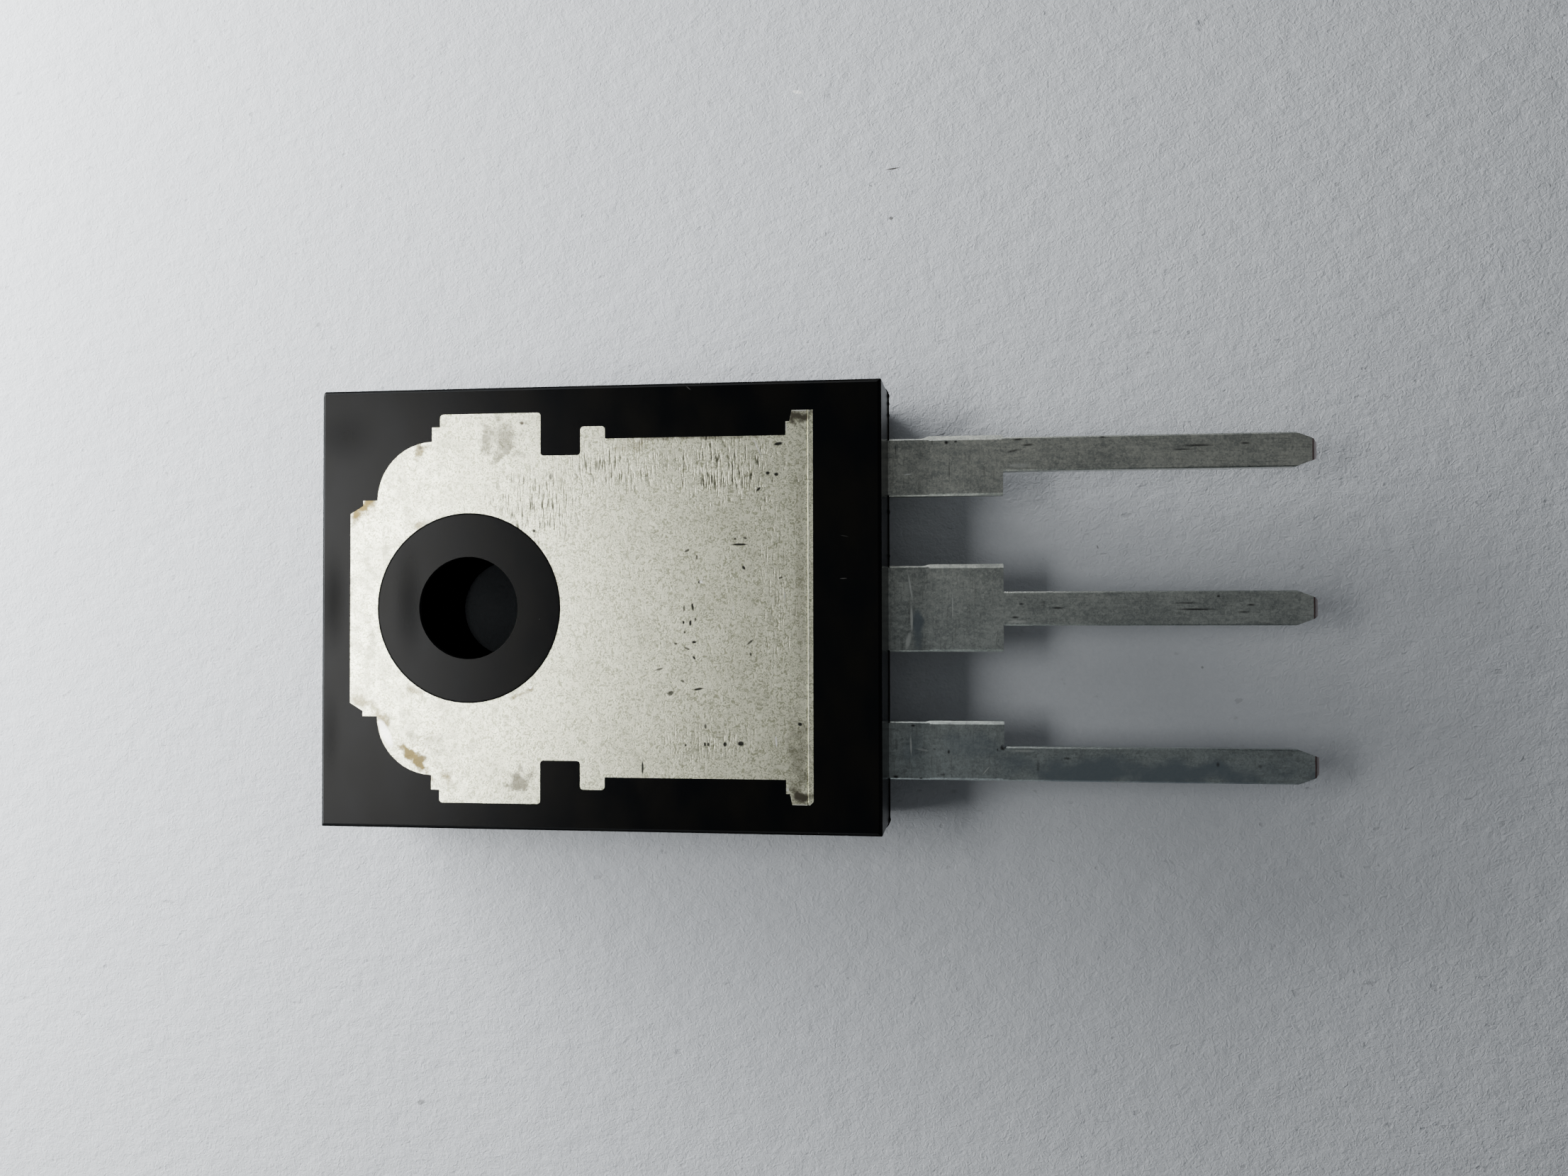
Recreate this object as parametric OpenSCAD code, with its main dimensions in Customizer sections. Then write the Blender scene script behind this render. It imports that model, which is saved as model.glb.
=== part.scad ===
// Three-lead rectifier diode in a flat moulded power package with an exposed heat-sink tab.
// Two silicon dice share the tab, which is their common cathode, and each has its own anode lead.
// X runs along the leads, Y across the package, and Z points out of the heat-sink face.
// The origin is the centre of the mounting hole, in the plane of the heat-sink face.
// The part lies on its front face, so the heat-sink face is on top.

/* [Moulded body] */
// Length of the body along the leads, at the heat-sink face
body_length = 20.08; // [19.6:0.02:20.8]
// Width of the body across the leads, at the heat-sink face
body_width = 15.58; // [15.2:0.02:16]
// Thickness of the body
body_thickness = 5; // [4.7:0.05:5.4]
// Distance from the mounting hole's axis to the body's free end
hole_to_end = 5.48; // [5.3:0.02:5.7]
// Depth of the mould's parting plane below the heat-sink face
parting_depth = 2.4; // [2.25:0.05:2.6]
// Draft of the walls between the heat-sink face and the parting plane, in degrees
back_draft = 2; // [1:0.5:4]
// Draft of the walls between the parting plane and the front face, in degrees
front_draft = 5; // [2:0.5:8]
// Radius of the upright corners at the parting plane
parting_corner_r = 0.34; // [0.26:0.02:0.6]
// Radius of the upright corners at the heat-sink face
back_corner_r = 0.04; // [0.02:0.01:0.1]
// Broken edge round the heat-sink face
back_edge = 0.12; // [0.05:0.01:0.2]
// Chamfer round the front face
front_edge = 0.25; // [0.1:0.05:0.4]
// How far the flash stands out along the parting line
flash_reach = 0.04; // [0.02:0.01:0.08]
// Thickness of the flash along the parting line
flash_thickness = 0.06; // [0.04:0.01:0.1]
// How far the nibs of broken flash stand out past the flash at the lead end
nib_reach = 0.02; // [0.01:0.01:0.05]
// Length of a common nib of flash
nib_length = 0.18; // [0.14:0.01:0.22]
// Thickness of the nibs
nib_thickness = 0.14; // [0.08:0.01:0.2]
// Length along the side of the chip at the free end's +Y corner, at the heat-sink face
chip_length = 0.1; // [0.05:0.01:0.2]
// Length across the end of the same chip
chip_width = 0.2; // [0.1:0.01:0.3]
// Lean of the chip's face, which runs out below, in degrees
chip_lean = 6; // [4:1:12]

/* [Mounting hole] */
// Diameter of the mounting hole
hole_d = 3.62; // [3.5:0.02:3.7]
// Diameter of the moulded ring that insulates the hole from the tab
ring_d = 6.72; // [6.4:0.02:7.2]
// Chamfer at the hole's mouth on the front face
hole_chamfer = 0.45; // [0.2:0.05:0.6]

/* [Side scallops] */
// Radius of the two scallops in the front half, one on each side of the hole
scallop_r = 5; // [4.5:0.1:5.5]
// How far each scallop bites into the side, at the parting plane
scallop_depth = 1.4; // [1.2:0.05:1.6]
// Slope of the scallop's wall, in degrees
scallop_draft = 5; // [2:0.5:8]

/* [Ejector marks] */
// Diameter of the ejector-pin marks on the front face
ejector_d = 1.8; // [1.2:0.1:2.2]
// Depth of the ejector-pin marks
ejector_depth = 0.08; // [0.04:0.01:0.15]
// Distance from each mark's centre to the body's lead end and side
ejector_inset = 2.6; // [2.2:0.1:3]

/* [Heat-sink tab] */
// Thickness of the tab
tab_thickness = 2; // [1.8:0.05:2.2]
// Moulding that covers the tab's free end
tongue_cover = 1.1; // [0.9:0.02:1.3]
// Moulding that covers the tab's lead end
lead_end_cover = 2.34; // [2.2:0.02:2.5]
// Moulding beside the ears, at the tab's widest
ear_cover = 0.93; // [0.8:0.01:1]
// Half width of the tongue at the free end
tongue_half_width = 3.84; // [3.7:0.02:3.9]
// Length of the slope at each of the tongue's corners
tongue_step_length = 0.47; // [0.4:0.01:0.54]
// Rise of the same slope
tongue_step_rise = 0.28; // [0.2:0.01:0.36]
// Height of the lip beside the tongue's corner slopes
tongue_lip = 0.19; // [0.14:0.01:0.24]
// Length of the shelf between that lip and the big corner
tongue_shelf = 0.54; // [0.48:0.01:0.6]
// Radius of the tab's two big corners beside the tongue
shoulder_r = 2.07; // [1.95:0.02:2.15]
// Position of the ears' free-end edge, from the hole's axis
ear_start = 1.05; // [0.9:0.05:1.2]
// Position of the ears' lead-end edge, from the hole's axis
ear_end = 2.63; // [2.5:0.01:2.8]
// Length of the step at the ears' free-end edge
ear_step_length = 0.3; // [0.24:0.01:0.36]
// Drop of that step below the ears
ear_step_drop = 0.45; // [0.38:0.01:0.52]
// Depth of the locking notches beside the ears
notch_depth = 1.52; // [1.4:0.02:1.6]
// Width of the locking notches
notch_width = 1.44; // [1.3:0.02:1.6]
// Fillet in the bottom corners of the notches
notch_fillet_r = 0.12; // [0.06:0.01:0.18]
// Length of the locking ribs next to the notches
rib_length = 0.88; // [0.7:0.02:1]
// How far the ribs stay below the ears
rib_drop = 0.52; // [0.4:0.02:0.6]
// How far the long sides stay below the ribs
waist_drop = 0.44; // [0.36:0.02:0.5]
// Length of the flange at the tab's lead end
flange_length = 0.94; // [0.8:0.02:1.1]
// Length of the step at each end of the flange
flange_step_length = 0.13; // [0.08:0.01:0.18]
// Drop of that step below the flange's end
flange_step_drop = 0.38; // [0.3:0.01:0.46]
// Slope of the edge between the step and the flange's end
flange_slant = 0.08; // [0.04:0.01:0.12]
// How far the flange stays below the ears
flange_drop = 0.1; // [0.05:0.01:0.15]
// Rounding of the tab's stamped corners
tab_corner_r = 0.12; // [0.08:0.01:0.16]
// Thickness of the locking ledge that the moulding grips
ledge_thickness = 1.1; // [0.9:0.05:1.3]
// How far the locking ledge reaches past the visible outline
ledge_reach = 0.2; // [0.1:0.02:0.3]
// Width of the coined lip at the tab's lead end
lip_width = 0.17; // [0.13:0.01:0.22]
// Depth of the groove in the coined lip, below the heat-sink face
lip_depth = 0.05; // [0.03:0.01:0.07]
// Width of the rim along the outer edge of the lip
lip_rim_width = 0.05; // [0.03:0.01:0.07]
// Depth of that rim below the heat-sink face
lip_rim_depth = 0.02; // [0.01:0.005:0.03]

/* [Leads] */
// Distance between the centre lines of neighbouring leads
lead_pitch = 5.45; // [5.3:0.01:5.6]
// How far the whole row of leads sits towards -Y from the package's centre line
lead_shift = 0.06; // [0:0.01:0.1]
// Thickness of the leads
lead_thickness = 0.6; // [0.5:0.02:0.7]
// Width of the long thin part of each lead
lead_width = 1.2; // [1:0.02:1.3]
// Width of the outer leads' shoulders
outer_shoulder_width = 2.05; // [1.8:0.05:2.3]
// Width of the middle lead's shoulder
middle_shoulder_width = 3.04; // [2.7:0.02:3.3]
// Length of the shoulders outside the body
shoulder_length = 4.05; // [3.8:0.05:4.3]
// Length of the leads outside the body
lead_length = 14.8; // [14.2:0.01:16]
// Length of the tapered tip
tip_length = 0.62; // [0.4:0.02:0.8]
// Width of the tip's blunt end
tip_width = 0.57; // [0.4:0.01:0.7]
// How far the sheared tip leans out from the back of the lead to its front
tip_lean = 0.2; // [0.1:0.01:0.26]
// Rolled edge at the back of the sheared tip
tip_roll = 0.08; // [0.04:0.01:0.12]
// Rounding bevel along the leads' edges
lead_edge = 0.05; // [0.03:0.01:0.08]
// Extra width that the trimmed tie bar leaves on the +Y side of outer lead a
trim_stub_a = 0.1; // [0.06:0.01:0.14]
// Extra width that it leaves on the +Y side of the middle lead
trim_stub_middle = 0.06; // [0.03:0.01:0.09]
// Extra width that it leaves on the +Y side of outer lead b
trim_stub_b = 0.03; // [0.01:0.01:0.06]
// Plain length of shoulder between the body and the trimmed stub
trim_start = 0.95; // [0.8:0.05:1.1]
// Length over which the trimmed stub grows to its full width
trim_ramp = 0.5; // [0.3:0.05:0.7]
// Broken edge along the back of the trimmed stubs
trim_bevel = 0.08; // [0.06:0.01:0.1]
// Radius of the nick in the corner between shoulder and shank of outer lead b
nick_r = 0.07; // [0.04:0.01:0.1]
// Slope of the formed step between the tab and the middle lead, in degrees
joggle_angle = 45; // [35:1:55]
// Straight strip between the tab's lead end and the formed step
joggle_start = 0.5; // [0.4:0.02:0.6]
// Bevelled length of each lead that stays inside the body
lead_root = 0.4; // [0.3:0.02:0.5]

/* [Bonding posts] */
// Length of the bonding post at the inner end of each outer lead
post_length = 1.4; // [1.2:0.05:1.6]
// Width of each bonding post
post_width = 3.3; // [3:0.05:3.5]
// Depth of moulding between the bonding posts and the lead end of the body
post_cover = 0.65; // [0.5:0.05:0.7]
// How far the posts sit inwards of their shoulders
post_inset = 0.35; // [0.25:0.05:0.45]
// Diameter of the locking hole where each post meets its lead
lock_hole_d = 0.8; // [0.6:0.05:1]

/* [Dice and bond wires] */
// Side of each square die
die_size = 3.4; // [3:0.05:3.6]
// Thickness of each die
die_thickness = 0.3; // [0.2:0.02:0.4]
// Thickness of the solder under each die
solder_thickness = 0.05; // [0.03:0.01:0.1]
// How far the solder shows past the die's edges
solder_margin = 0.1; // [0.05:0.01:0.15]
// Distance between the dice centres, across the tab
dice_spacing = 5.8; // [5.4:0.1:6]
// Distance from the dice centres to the tab's lead end
dice_setback = 2.86; // [2.5:0.02:3.2]
// How far the wires land from the dice centres, towards the leads
wire_offset = 0.5; // [0.3:0.05:0.7]
// Diameter of the bond wires
wire_d = 0.38; // [0.3:0.02:0.42]
// Height of each wire's loop above the line between its ends
loop_height = 0.8; // [0.6:0.05:0.9]
// Distance between the two wires of one die
wire_spacing = 1.2; // [1:0.05:1.3]
// Length of the flattened wedge at each end of a wire
wedge_length = 0.7; // [0.6:0.02:0.8]
// Thickness of the flattened wedges
wedge_thickness = 0.2; // [0.14:0.02:0.24]
// Width of the flattened wedges
wedge_width = 0.5; // [0.44:0.02:0.6]

/* [Hidden] */

// Facets of the round corners inside a hull
corner_fn = 32;
// Facets of a small circle and of a large one
small_fn = 48;
large_fn = 96;
// Thickness of the sheets that a hull is drawn between
sheet = 0.01;
// Length by which a cutting shape runs past the surface that it cuts
over = 1;
// Length by which a shape runs into the one that it joins
lap = 0.05;

// Side a is at +Y and side b at -Y
SIDES = [1, -1];

// The body's ends and sides at the heat-sink face
body_free_x = -hole_to_end;
body_lead_x = body_length - hole_to_end;
body_mid_x = (body_free_x + body_lead_x) / 2;
body_half = body_width / 2;

// Nibs of flash on the lead end: place across the body in half widths, and length in nib lengths
NIBS = [[0.967, 1.4], [0.932, 1], [0.878, 1], [0.435, 1.5], [0.234, 1], [-0.968, 1.2]];

// How far the walls stand out at the parting plane, and in at the front face
part_flare = parting_depth * tan(back_draft);
front_flare = part_flare - (body_thickness - parting_depth) * tan(front_draft);
// Where the leads leave the body, and where their bevelled edges begin inside it
exit_x = body_lead_x + part_flare;
root_x = body_lead_x - lead_root;

// Levels of the metal, measured up from the heat-sink face
tab_front_z = -tab_thickness;
lead_back_z = -parting_depth;
lead_front_z = lead_back_z - lead_thickness;
die_front_z = tab_front_z - solder_thickness - die_thickness;

// Half widths of the tab's ears, ribs, waist and notches
ear_half = body_half - ear_cover;
rib_half = ear_half - rib_drop;
waist_half = rib_half - waist_drop;
notch_half = ear_half - notch_depth;
// The tab's outline along the leads
tongue_x = body_free_x + tongue_cover;
tab_end_x = body_lead_x - lead_end_cover;
rib_x = ear_end + notch_width;
flange_x = tab_end_x - flange_length;
flange_half = ear_half - flange_drop;
// Centre of the big corner arcs
shoulder_x = tongue_x + tongue_step_length + tongue_shelf + shoulder_r;
shoulder_y = waist_half - shoulder_r;

// Dice, posts and the ends of the wires
die_x = tab_end_x - dice_setback;
die_y = dice_spacing / 2;
post_end_x = body_lead_x - post_cover;
post_start_x = post_end_x - post_length;
// Distance from an outer lead's centre line to its shoulder's middle
shoulder_shift = (outer_shoulder_width - lead_width) / 2;
post_y = lead_pitch - shoulder_shift - post_inset;
// Where the wires land on the dice and on the posts
wire_x = die_x + wire_offset;
wedge_x = post_start_x + post_length / 2;

// ---------------------------------------------------------------- moulded body

// Sheet of the body's rectangle at level z, grown by g, with its corners rounded to r
module corner_sheet(z, g, r) {
    for (sx = [-1, 1], sy = [-1, 1])
        translate([body_mid_x + sx * (body_length / 2 + g - r), sy * (body_half + g - r), z])
            cylinder(h = sheet, r = r, $fn = corner_fn);
}

// Half of the mould that holds the tab: broken edge, slight draft, corners opening downwards
module back_half() {
    hull() {
        corner_sheet(-sheet, -back_edge, back_corner_r);
        corner_sheet(-back_edge - sheet, 0, back_corner_r);
        corner_sheet(-parting_depth, part_flare, parting_corner_r);
    }
}

// Half of the mould that forms the front face
module front_half() {
    hull() {
        corner_sheet(-parting_depth - sheet, part_flare, parting_corner_r);
        corner_sheet(-body_thickness + front_edge, front_flare, parting_corner_r);
        corner_sheet(-body_thickness, front_flare - front_edge, parting_corner_r - front_edge / 2);
    }
}

// Thin flash squeezed out along the parting line
module flash() {
    length = body_length + 2 * (part_flare + flash_reach);
    width = body_width + 2 * (part_flare + flash_reach);
    r = parting_corner_r + flash_reach;
    translate([body_mid_x, 0, -parting_depth - flash_thickness / 2]) {
        cube([length - 2 * r, width, flash_thickness], center = true);
        cube([length, width - 2 * r, flash_thickness], center = true);
        for (sx = [-1, 1], sy = [-1, 1])
            translate([sx * (length / 2 - r), sy * (width / 2 - r), 0])
                cylinder(h = flash_thickness, r = r, center = true, $fn = small_fn);
    }
}

// Thicker nibs of broken flash, each a low round cap on the lead end's parting line
module flash_nibs() {
    cap = flash_reach + nib_reach;
    for (nib = NIBS) {
        chord = nib[1] * nib_length;
        r = (chord * chord / 4 + cap * cap) / (2 * cap);
        translate([exit_x + cap - r, nib[0] * body_half, -parting_depth - nib_thickness / 2])
            cylinder(h = nib_thickness, r = r, $fn = small_fn);
    }
}

// Chip broken out of the free end's +Y corner, widest at the heat-sink face
module corner_chip() {
    translate([body_free_x + chip_length, body_half, 0])
        rotate([chip_lean, 0, atan2(chip_width, chip_length)])
            translate([-over, 0, -over]) cube([2 * over, over, 2 * over]);
}

// Scallop that bares the tab's ears from the front; its wall slopes outwards to the front face
module scallop(side) {
    depth = body_thickness - tab_thickness;
    top_r = scallop_r;
    mouth_r = scallop_r + depth * tan(scallop_draft);
    translate([0, side * (body_half + scallop_r - scallop_depth), -body_thickness])
        cylinder(h = depth, r1 = mouth_r, r2 = top_r, $fn = large_fn);
}

// Through hole with a chamfered mouth on the front face
module mounting_hole() {
    hole_r = hole_d / 2;
    translate([0, 0, -body_thickness - over])
        cylinder(h = body_thickness + 2 * over, r = hole_r, $fn = large_fn);
    translate([0, 0, -body_thickness])
        cylinder(h = hole_chamfer, r1 = hole_r + hole_chamfer, r2 = hole_r, $fn = large_fn);
}

module ejector_marks() {
    for (side = SIDES)
        translate([body_lead_x - ejector_inset, side * (body_half - ejector_inset),
                   -body_thickness - over])
            cylinder(h = over + ejector_depth, d = ejector_d, $fn = small_fn);
}

// One epoxy moulding, cast round the frame, the dice and the wires
module moulded_body() {
    color([0.09, 0.09, 0.1])
        difference() {
            union() {
                back_half();
                front_half();
                flash();
                flash_nibs();
            }
            corner_chip();
            for (side = SIDES) scallop(side);
            mounting_hole();
            ejector_marks();
            tab_blank();
            for (side = SIDES) {
                outer_lead(side);
                die_solder(side);
                diode_die(side);
                for (k = [0, 1]) bond_wire(side, k);
            }
        }
}

// ---------------------------------------------------------------- heat-sink tab

// Rectangle from x0 to x1, h to each side of the centre line, with rounded corners
module round_band(x0, x1, h, r) {
    translate([x0, -h + r]) square([x1 - x0, 2 * (h - r)]);
    translate([x0 + r, -h]) square([x1 - x0 - 2 * r, 2 * h]);
    for (x = [x0 + r, x1 - r], side = SIDES)
        translate([x, side * (h - r)]) circle(r, $fn = small_fn);
}

// Plain rectangle from x0 to x1, h to each side of the centre line
module band(x0, x1, h) {
    translate([x0, -h]) square([x1 - x0, 2 * h]);
}

// The tab's stamped outline, grown by g on every side
module tab_plan(g) {
    h = tongue_half_width + g;
    x = tongue_x - g;
    lip_x = x + tongue_step_length;
    lip_h = h - tongue_lip;
    slope_h = lip_h - tongue_step_rise;
    polygon([[x, slope_h], [lip_x, lip_h], [lip_x, h], [0, h],
             [0, -h], [lip_x, -h], [lip_x, -lip_h], [x, -slope_h]]);
    for (side = SIDES)
        translate([shoulder_x, side * shoulder_y]) circle(shoulder_r + g, $fn = large_fn);
    band(shoulder_x - shoulder_r - g, 0, shoulder_y);
    band(shoulder_x, 0, waist_half + g);
    band(-ear_start - ear_step_length - g, 0, ear_half - ear_step_drop + g);
    round_band(-ear_start - g, ear_end + g, ear_half + g, tab_corner_r);
    band(0, tab_end_x, notch_half + g);
    round_band(rib_x - g, rib_x + rib_length + g, rib_half + g, tab_corner_r);
    band(rib_x + rib_length / 2, tab_end_x, waist_half + g);
    for (side = SIDES) {
        fillet_corner(ear_end + g, side * (notch_half + g), 1, side);
        fillet_corner(rib_x - g, side * (notch_half + g), -1, side);
        flange_end(side, g);
    }
}

// Metal left round the fillet in the corner [x, y] of a notch that opens towards [sx, sy]
module fillet_corner(x, y, sx, sy) {
    r = notch_fillet_r;
    middle = (r - lap) / 2;
    difference() {
        translate([x + sx * middle, y + sy * middle]) square(r + lap, center = true);
        translate([x + sx * r, y + sy * r]) circle(r, $fn = small_fn);
    }
}

// One end of the flange, grown by g: a step, a slanted edge and, at -Y, a broken corner
module flange_end(side, g) {
    x = flange_x - g;
    end_x = tab_end_x + g;
    step_x = x + flange_step_length;
    h = flange_half + g;
    corner = side < 0 ? tab_corner_r : 0;
    mirror([0, side < 0 ? 1 : 0])
        polygon([[x, 0], [x, h - flange_step_drop], [step_x, h - flange_step_drop],
                 [step_x + flange_slant, h], [end_x - corner, h], [end_x, h - corner], [end_x, 0]]);
}

// Side view of the strip that steps down from the tab's front face to the lead plane
module joggle_profile() {
    t = lead_thickness;
    tab_strip_z = tab_front_z + t;
    rise = tab_strip_z - lead_back_z;
    bend_x = tab_end_x + joggle_start;
    foot_x = bend_x + rise / tan(joggle_angle);
    mitre = t * tan(joggle_angle / 2);
    polygon([[flange_x, tab_strip_z], [bend_x, tab_strip_z],
             [foot_x, lead_back_z], [root_x, lead_back_z], [root_x, lead_front_z],
             [foot_x - mitre, lead_front_z], [bend_x - mitre, tab_front_z],
             [flange_x, tab_front_z]]);
}

// The metal before its lip is coined: thick tab, ring hole, locking ledge and middle lead
module tab_blank() {
    difference() {
        union() {
            translate([0, 0, tab_front_z]) linear_extrude(tab_thickness) tab_plan(0);
            translate([0, 0, tab_front_z]) linear_extrude(ledge_thickness) tab_plan(ledge_reach);
        }
        translate([0, 0, tab_front_z - over])
            cylinder(h = tab_thickness + 2 * over, d = ring_d, $fn = large_fn);
        translate([0, 0, tab_front_z - over])
            cylinder(h = over + tab_thickness / 2, d = ring_d + 2 * ledge_reach, $fn = large_fn);
    }
    half = middle_shoulder_width / 2;
    translate([0, half - lead_shift, 0]) rotate([90, 0, 0])
        linear_extrude(middle_shoulder_width) joggle_profile();
    lead_blade(-lead_shift, -half - lead_shift, half - lead_shift, trim_stub_middle);
}

// Side view of what the coining takes off the tab's lead end: a groove and a low outer rim
module lip_profile() {
    groove_x = tab_end_x - lip_width;
    rim_x = tab_end_x - lip_rim_width;
    polygon([[groove_x - over - lip_depth, over], [groove_x - lip_depth, 0], [groove_x, -lip_depth],
             [rim_x, -lip_depth], [rim_x, -lip_rim_depth], [tab_end_x + over, -lip_rim_depth],
             [tab_end_x + over, over]]);
}

// Tab and middle lead are one piece of dual-gauge copper strip
module heat_sink_tab() {
    color([0.78, 0.78, 0.74])
        difference() {
            tab_blank();
            translate([0, body_half, 0]) rotate([90, 0, 0]) linear_extrude(body_width) lip_profile();
        }
}

// ---------------------------------------------------------------- leads

// Straight bar from x0 to x1 and y0 to y1, lead_thickness deep, with bevelled edges;
// the bevels along its back are back0 wide at y0 and back1 wide at y1
module bar(x0, x1, y0, y1, back0 = lead_edge, back1 = lead_edge) {
    e = lead_edge;
    translate([x0, 0, 0]) rotate([90, 0, 90]) linear_extrude(x1 - x0)
        polygon([[y0 + e, lead_front_z], [y1 - e, lead_front_z], [y1, lead_front_z + e],
                 [y1, lead_back_z - back1], [y1 - back1, lead_back_z],
                 [y0 + back0, lead_back_z], [y0, lead_back_z - back0], [y0, lead_front_z + e]]);
}

// Bevelled part of a lead: shoulder from y0 to y1, trimmed stub at y1, shank and tip
module lead_blade(centre_y, y0, y1, stub) {
    stub_x = exit_x + trim_start;
    full_x = stub_x + trim_ramp;
    shoulder_x1 = exit_x + shoulder_length;
    bar(root_x - lap, full_x, y0, y1);
    intersection() {
        bar(stub_x, shoulder_x1, y0, y1 + stub, trim_bevel, trim_bevel + stub);
        translate([0, 0, lead_front_z]) linear_extrude(lead_thickness)
            polygon([[stub_x, y0 + trim_bevel], [stub_x, y1 - trim_bevel], [full_x, y1 + stub],
                     [shoulder_x1, y1 + stub], [shoulder_x1, y0], [full_x, y0]]);
    }
    shank(shoulder_x1, centre_y);
}

// Long thin part of a lead, with its tapered tip sheared off at a lean
module shank(x0, centre_y) {
    half = lead_width / 2;
    front_x = exit_x + lead_length;
    back_x = front_x - tip_lean;
    taper_x = back_x - tip_length;
    intersection() {
        bar(x0 - lap, front_x, centre_y - half, centre_y + half);
        translate([0, centre_y, lead_front_z]) linear_extrude(lead_thickness)
            polygon([[exit_x, -half], [taper_x, -half], [front_x, -tip_width / 2],
                     [front_x, tip_width / 2], [taper_x, half], [exit_x, half]]);
        translate([0, centre_y + half, 0]) rotate([90, 0, 0]) linear_extrude(lead_width)
            polygon([[exit_x, lead_back_z], [back_x - tip_roll, lead_back_z],
                     [back_x, lead_back_z - tip_roll], [front_x, lead_front_z],
                     [exit_x, lead_front_z]]);
    }
}

// Outer lead with its bonding post, seen from the front as a flag on a pole
module outer_lead(side) {
    lead_y = side * lead_pitch - lead_shift;
    outer_y = lead_y + side * lead_width / 2;
    inner_y = outer_y - side * outer_shoulder_width;
    y0 = min(outer_y, inner_y);
    y1 = max(outer_y, inner_y);
    difference() {
        union() {
            lead_blade(lead_y, y0, y1, side > 0 ? trim_stub_a : trim_stub_b);
            translate([0, 0, lead_front_z]) linear_extrude(lead_thickness) {
                translate([post_start_x, side * post_y - lead_shift - post_width / 2])
                    square([post_length, post_width]);
                translate([post_start_x, y0]) square([root_x - post_start_x, y1 - y0]);
            }
        }
        translate([post_end_x - lock_hole_d / 2, (y0 + y1) / 2, lead_front_z - over])
            cylinder(h = lead_thickness + 2 * over, d = lock_hole_d, $fn = small_fn);
        if (side < 0) root_nick(lead_y + lead_width / 2);
    }
}

// Small round nick where lead b's shoulder meets its shank at y
module root_nick(y) {
    translate([exit_x + shoulder_length, y, lead_front_z - over])
        cylinder(h = lead_thickness + 2 * over, r = nick_r, $fn = corner_fn);
}

module anode_lead(side) {
    color([0.68, 0.69, 0.66]) outer_lead(side);
}

// ---------------------------------------------------------------- dice and wires

// Soft-solder layer between a die and the tab
module die_solder(side) {
    s = die_size + 2 * solder_margin;
    color([0.6, 0.6, 0.63])
        translate([die_x - s / 2, side * die_y - s / 2, tab_front_z - solder_thickness])
            cube([s, s, solder_thickness]);
}

module diode_die(side) {
    color([0.32, 0.34, 0.4])
        translate([die_x - die_size / 2, side * die_y - die_size / 2, die_front_z])
            cube([die_size, die_size, die_thickness]);
}

// Wire from a die to its post: one arc in an upright plane, with a flattened wedge at each end.
// Inside the plane, x runs towards the post and y is the height in front of the tab.
module bond_wire(side, k) {
    offset_y = (k - 0.5) * wire_spacing;
    from = [wire_x, side * (die_y + offset_y)];
    to = [wedge_x, side * (post_y + offset_y) - lead_shift];
    run = norm(to - from);
    h0 = -die_front_z;
    h1 = -lead_front_z;
    chord = norm([run, h1 - h0]);
    tilt = atan2(h1 - h0, run);
    arc_r = (chord * chord / 4 + loop_height * loop_height) / (2 * loop_height);
    half_angle = asin(chord / 2 / arc_r);
    spare = asin(wire_d / arc_r);
    centre = [run / 2, (h0 + h1) / 2] + (arc_r - loop_height) * [sin(tilt), -cos(tilt)];
    color([0.85, 0.85, 0.87])
        translate([from[0], from[1], 0])
            rotate([0, 0, atan2(to[1] - from[1], to[0] - from[0])])
                rotate([-90, 0, 0]) {
                    difference() {
                        translate([centre[0], centre[1], 0])
                            rotate([0, 0, 90 + tilt - half_angle - spare])
                                rotate_extrude(angle = 2 * (half_angle + spare), $fn = large_fn)
                                    translate([arc_r, 0]) circle(d = wire_d, $fn = small_fn);
                        translate([-over, h0 - over, -wire_d]) cube([over + run / 2, over, 2 * wire_d]);
                        translate([run / 2, h1 - over, -wire_d]) cube([over + run / 2, over, 2 * wire_d]);
                    }
                    translate([-wedge_length / 2, h0, -wedge_width / 2])
                        cube([wedge_length, wedge_thickness, wedge_width]);
                    translate([run - wedge_length / 2, h1, -wedge_width / 2])
                        cube([wedge_length, wedge_thickness, wedge_width]);
                }
}

moulded_body();
heat_sink_tab();
anode_lead(1);  // anode_lead_a
anode_lead(-1);  // anode_lead_b
die_solder(1);  // die_solder_a
die_solder(-1);  // die_solder_b
diode_die(1);  // diode_die_a
diode_die(-1);  // diode_die_b
bond_wire(1, 0);  // bond_wire_a1
bond_wire(1, 1);  // bond_wire_a2
bond_wire(-1, 0);  // bond_wire_b1
bond_wire(-1, 1);  // bond_wire_b2
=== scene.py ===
import math

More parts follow.
